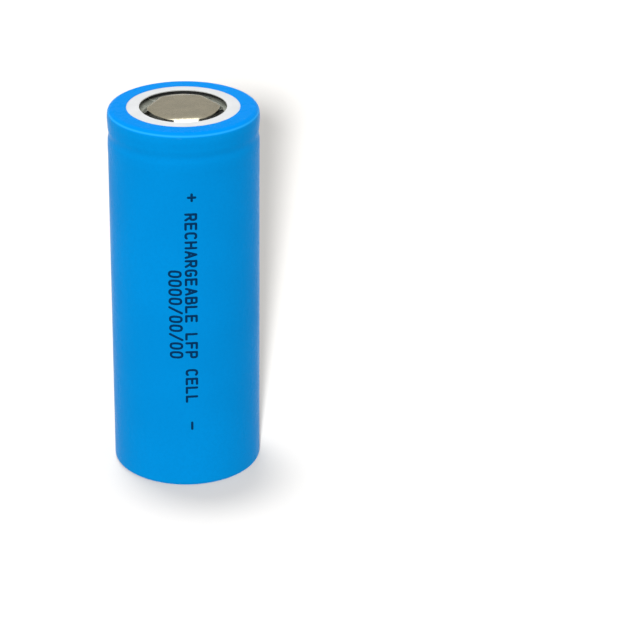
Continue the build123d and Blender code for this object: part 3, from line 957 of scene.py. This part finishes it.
def cap_nickel():
    """Satin nickel plating on the pressed cap: a little yellow on the flat, with the legs painted
    paler as a painted sheen for the light on their slopes.
    """
    metal = sheet_metal(
        "cap_nickel", (0.425, 0.385, 0.285), (0.365, 0.335, 0.25), (0.22, 0.36), (1.4, 9, 4), 0.003,
        metallic=0.7,
    )
    # Painted sheen: the legs are painted a paler nickel than the flat, for the light that their
    # slopes catch
    full, none = (CAP_TOP - drop for drop in LEG_PAINTED_SHEEN_DROPS)
    metal.base(metal.colours(metal.height_mask(full, none), metal.tint, (0.53, 0.55, 0.485)))
    return metal.material


def plated_steel():
    """Nickel plating on the drawn can: ring marks on its bottom, draw lines up its side."""
    metal = sheet_metal(
        "plated_steel", (0.64, 0.62, 0.58), (0.54, 0.52, 0.47), (0.2, 0.36), (6, 6, 0.12), 0.002,
    )
    metal.bump(metal.rings(0.9, 1.5), 0.004)
    return metal.material


def bare_aluminium(name, roughness, grain):
    """Stamped aluminium, pale and soft-looking."""
    return sheet_metal(
        name, (0.80, 0.80, 0.81), (0.68, 0.68, 0.70), roughness, grain, 0.003, specks=0.25,
    ).material


def tab_nickel():
    """Bright nickel strip."""
    return sheet_metal(
        "tab_nickel", (0.66, 0.62, 0.55), (0.56, 0.52, 0.45), (0.18, 0.32), (8, 8, 0.5), 0.002,
    ).material


def moulded(name, pale, deep):
    """Moulded plastic: slight flow clouding and a fine mould texture."""
    plastic = Finish(name, specular=0.4)
    flow = plastic.clouds(0, 1, (0.3, 0.3, 0.6), 3, 0.6, 1.0)
    tint = plastic.colours(flow, pale, deep)
    rub = plastic.levels(plastic.noise((1.5, 1.5, 4), 5, 0.7), 0.62, 0.8, 0, 0.4)
    rubbed = tuple(0.6 * part + 0.12 for part in pale)
    plastic.base(plastic.colours(rub, tint, rubbed))
    plastic.roughness(plastic.clouds(0.4, 0.55, (2, 2, 2), 3))
    plastic.bump(plastic.noise((11, 11, 11), 2), 0.006)
    return plastic.material


def insulator_board():
    """Pale green-grey woven board: two crossed sets of threads and darker resin between them."""
    board = Finish("insulator_board", specular=0.3)
    warp = board.noise((5.5, 0.7, 3), 3, 0.6)
    weft = board.noise((0.7, 5.5, 3), 3, 0.6)
    threads = board.product(warp, weft)
    raised = board.levels(threads, 0.15, 0.36, 0, 1)
    tint = board.colours(raised, (0.44, 0.50, 0.36), (0.66, 0.70, 0.56))
    stain = board.levels(board.noise((0.5, 0.5, 0.5), 4), 0.55, 0.8, 0, 0.4)
    board.base(board.colours(stain, tint, (0.50, 0.46, 0.30)))
    board.roughness(board.levels(warp, *NOISE_MIDDLE, 0.55, 0.75))
    board.bump(threads, 0.02)
    return board.material


def amber_tape():
    """Polyimide tape: clear amber film that creases and shows adhesive bubbles."""
    tape = Finish("amber_tape", specular=0.5)
    shade = tape.clouds(0, 1, (0.4, 0.4, 0.4), 3)
    tint = tape.colours(shade, (0.60, 0.27, 0.03), (0.46, 0.18, 0.02))
    bubble = tape.levels(tape.cells((1.6, 1.6, 1.6)), 0.12, 0.2, 0.45, 0)
    tape.base(tape.colours(bubble, tint, (0.72, 0.40, 0.10)))
    tape.roughness(tape.clouds(0.16, 0.34, (1, 1, 0.3), 4))
    tape.bump(tape.noise((0.5, 0.5, 2.2), 3, 0.5, 0.4), 0.02)
    return tape.material


def electrode_coat(name, coat, rubbed, foil, sheen):
    """A rolled powder coat on metal foil: fine grain, roller streaks and nicks down to the foil."""
    powder = Finish(name, specular=0.35)
    streak = powder.levels(powder.noise((0.15, 0.15, 2.2), 4, 0.6), 0.35, 0.7, 0, 1)
    tint = powder.colours(streak, coat, rubbed)
    nicks = powder.levels(powder.noise((1.1, 1.1, 6), 6, 0.75), 0.66, 0.76, 0, 0.8)
    powder.base(powder.colours(nicks, tint, foil))
    low, high = sheen
    powder.roughness(powder.clouds(low, high, (3, 3, 3), 3))
    powder.bump(powder.noise((16, 16, 16), 3, 0.7), 0.006)
    powder.bump(powder.noise((0.3, 0.3, 1.5), 2), 0.01)
    return powder.material


def separator_film():
    """White porous film, with fine stretch lines and soft creases."""
    film = Finish("separator_film", specular=0.4)
    shade = film.clouds(0, 1, (0.25, 0.25, 0.8), 3)
    film.base(film.colours(shade, (0.88, 0.88, 0.87), (0.80, 0.81, 0.80)))
    film.roughness(film.clouds(0.38, 0.56, (1, 1, 3), 3))
    film.bump(film.noise((9, 9, 0.4), 3), 0.004)
    film.bump(film.noise((0.3, 0.3, 0.9), 3, 0.5, 0.8), 0.03)
    return film.material


def dress_frame(finishes):
    """Give every CAD node the finish of its slot in the record."""
    for part in frame["record"]["subparts"]:
        node = frame["nodes"][part["node"]]
        finish = finishes[part["material_slot"]]
        node.data.materials.clear()
        node.data.materials.append(finish)


# ---------------------------------------------------------------- set

def make_floor():
    """A plain pale floor, level with the cell's foot, that throws no light back on it."""
    half = FLOOR_HALF * MM
    mesh = bpy.data.meshes.new("floor")
    corners = [(-half, -half, 0), (half, -half, 0), (half, half, 0), (-half, half, 0)]
    mesh.from_pydata(corners, [], [(0, 1, 2, 3)])
    floor = bpy.data.objects.new("floor", mesh)
    bpy.context.scene.collection.objects.link(floor)
    paper = Finish("floor_paper", specular=0.1)
    shade = paper.clouds(0, 1, (0.01, 0.01, 0.01), 3)
    paper.base(paper.colours(shade, (0.316, 0.311, 0.305), (0.312, 0.307, 0.301)))
    paper.roughness(paper.clouds(0.9, 1.0, (0.1, 0.1, 0.1), 3))
    mesh.materials.append(paper.material)
    floor.visible_diffuse = False
    return floor


def light_from(name, kind, azimuth, elevation, distance):
    """A light that looks at the cell; azimuth 0 is the camera's side."""
    a, e = math.radians(azimuth), math.radians(elevation)
    back = Vector((math.sin(a) * math.cos(e), -math.cos(a) * math.cos(e), math.sin(e)))
    light = bpy.data.objects.new(name, bpy.data.lights.new(name, kind))
    light.location = (Vector((0, 0, AIM_HEIGHT)) + back * distance) * MM
    light.rotation_mode = "QUATERNION"
    light.rotation_quaternion = (-back).to_track_quat("-Z", "Y")
    light.visible_camera = False
    bpy.context.scene.collection.objects.link(light)
    return light


def link_light(light, floor, state):
    """Let a light fall on the floor only (INCLUDE) or on everything but the floor (EXCLUDE)."""
    receivers = bpy.data.collections.new(light.name + "_receivers")
    receivers.objects.link(floor)
    receivers.collection_objects[0].light_linking.link_state = state
    light.light_linking.receiver_collection = receivers


def soft_box(name, azimuth, elevation, distance, size, power, floor):
    """A round soft box for the cell, with its size in millimetres and its power in watts."""
    light = light_from(name, "AREA", azimuth, elevation, distance)
    light.data.shape = "DISK"
    light.data.size = size * MM
    light.data.energy = power
    link_light(light, floor, "EXCLUDE")


def floor_light(name, azimuth, elevation, spread, strength, floor):
    """Even light for the floor, so that the cell's soft shadow shows on it."""
    light = light_from(name, "SUN", azimuth, elevation, SUN_DISTANCE)
    light.data.angle = math.radians(spread)
    light.data.energy = strength * math.pi / math.sin(math.radians(elevation))
    link_light(light, floor, "INCLUDE")


def grey(level):
    """A colour with the same level in each channel."""
    return level, level, level, 1


def make_world(strength):
    """The surround that lights the cell: brightest just over the horizon, dimmer above that, so
    that metal has something to show, and plain white overhead. The camera sees even white."""
    world = bpy.data.worlds.new("surround")
    world.use_nodes = True
    tree = world.node_tree
    background = tree.nodes["Background"]
    direction = tree.nodes.new("ShaderNodeTexCoord").outputs["Generated"]
    split = tree.nodes.new("ShaderNodeSeparateXYZ")
    tree.links.new(direction, split.inputs["Vector"])
    ramp = tree.nodes.new("ShaderNodeValToRGB")
    stops = ramp.color_ramp.elements
    stops[0].position, stops[0].color = 0.0, grey(HORIZON_LEVEL)
    stops[1].position, stops[1].color = OVERHEAD_START, grey(1)
    for height, level in BAND_STOPS:
        stops.new(height).color = [level * part for part in BAND_TINT] + [1]
    tree.links.new(split.outputs["Z"], ramp.inputs["Fac"])
    rays = tree.nodes.new("ShaderNodeLightPath")
    seen = tree.nodes.new("ShaderNodeMix")
    seen.data_type = "RGBA"
    seen.inputs[MIX_SECOND].default_value = grey(BACKDROP_LEVEL)
    tree.links.new(rays.outputs["Is Camera Ray"], seen.inputs["Factor"])
    tree.links.new(ramp.outputs["Color"], seen.inputs[MIX_FIRST])
    tree.links.new(seen.outputs[MIX_RESULT], background.inputs["Color"])
    background.inputs["Strength"].default_value = strength
    bpy.context.scene.world = world


def make_camera():
    """A long lens that looks down on the cell from its front."""
    yaw, pitch, roll = map(math.radians, (CAMERA_YAW, CAMERA_PITCH, CAMERA_ROLL))
    forward = Vector((
        math.sin(yaw) * math.cos(pitch),
        math.cos(yaw) * math.cos(pitch),
        -math.sin(pitch),
    ))
    level = forward.cross(Vector((0, 0, 1))).normalized()
    upright = level.cross(forward)
    right = level * math.cos(roll) + upright * math.sin(roll)
    up = upright * math.cos(roll) - level * math.sin(roll)
    data = bpy.data.cameras.new("camera")
    data.sensor_width = SENSOR_WIDTH
    data.lens = CAMERA_LENS
    data.clip_start = NEAREST_SEEN * MM
    data.clip_end = FARTHEST_SEEN * MM
    camera = bpy.data.objects.new("camera", data)
    camera.matrix_world = Matrix((right, up, -forward)).transposed().to_4x4()
    camera.location = CAMERA_PLACE * MM
    bpy.context.scene.collection.objects.link(camera)
    bpy.context.scene.camera = camera


# ---------------------------------------------------------------- build

finishes = {
    "sleeve_film": sleeve_film(),
    "washer_fibre": washer_fibre(),
    "plated_steel": plated_steel(),
    "gasket_plastic": moulded("gasket_plastic", (0.03, 0.03, 0.032), (0.018, 0.018, 0.02)),
    "cap_nickel": cap_nickel(),
    "vent_aluminium": bare_aluminium("vent_aluminium", (0.28, 0.42), (5, 5, 5)),
    "insulator_plastic": moulded("insulator_plastic", (0.78, 0.78, 0.73), (0.7, 0.7, 0.64)),
    "plate_aluminium": bare_aluminium("plate_aluminium", (0.3, 0.46), (1.2, 8, 4)),
    "insulator_board": insulator_board(),
    "tab_aluminium": bare_aluminium("tab_aluminium", (0.22, 0.36), (8, 8, 0.5)),
    "tab_nickel": tab_nickel(),
    "amber_tape": amber_tape(),
    "cathode_coat": electrode_coat(
        "cathode_coat", (0.045, 0.045, 0.048), (0.07, 0.07, 0.074), (0.6, 0.6, 0.61), (0.55, 0.75),
    ),
    "anode_coat": electrode_coat(
        "anode_coat", (0.028, 0.028, 0.031), (0.05, 0.05, 0.055), (0.62, 0.30, 0.17), (0.42, 0.6),
    ),
    "separator_film": separator_film(),
}

dress_frame(finishes)
make_sleeve(finishes["sleeve_film"])
make_print(print_ink())
make_washer(finishes["washer_fibre"])
make_cap(finishes["cap_nickel"])

floor = make_floor()
make_world(strength=0.67)
soft_box("key", azimuth=-32, elevation=42, distance=1000, size=450, power=3.0, floor=floor)
soft_box("top", azimuth=0, elevation=70, distance=900, size=500, power=2.8, floor=floor)
floor_light("floor_front", azimuth=-4.1, elevation=21.5, spread=3.5, strength=1.6, floor=floor)
floor_light("floor_top", azimuth=202, elevation=81.5, spread=10, strength=1.15, floor=floor)
make_camera()
bpy.context.scene.view_settings.view_transform = "Standard"
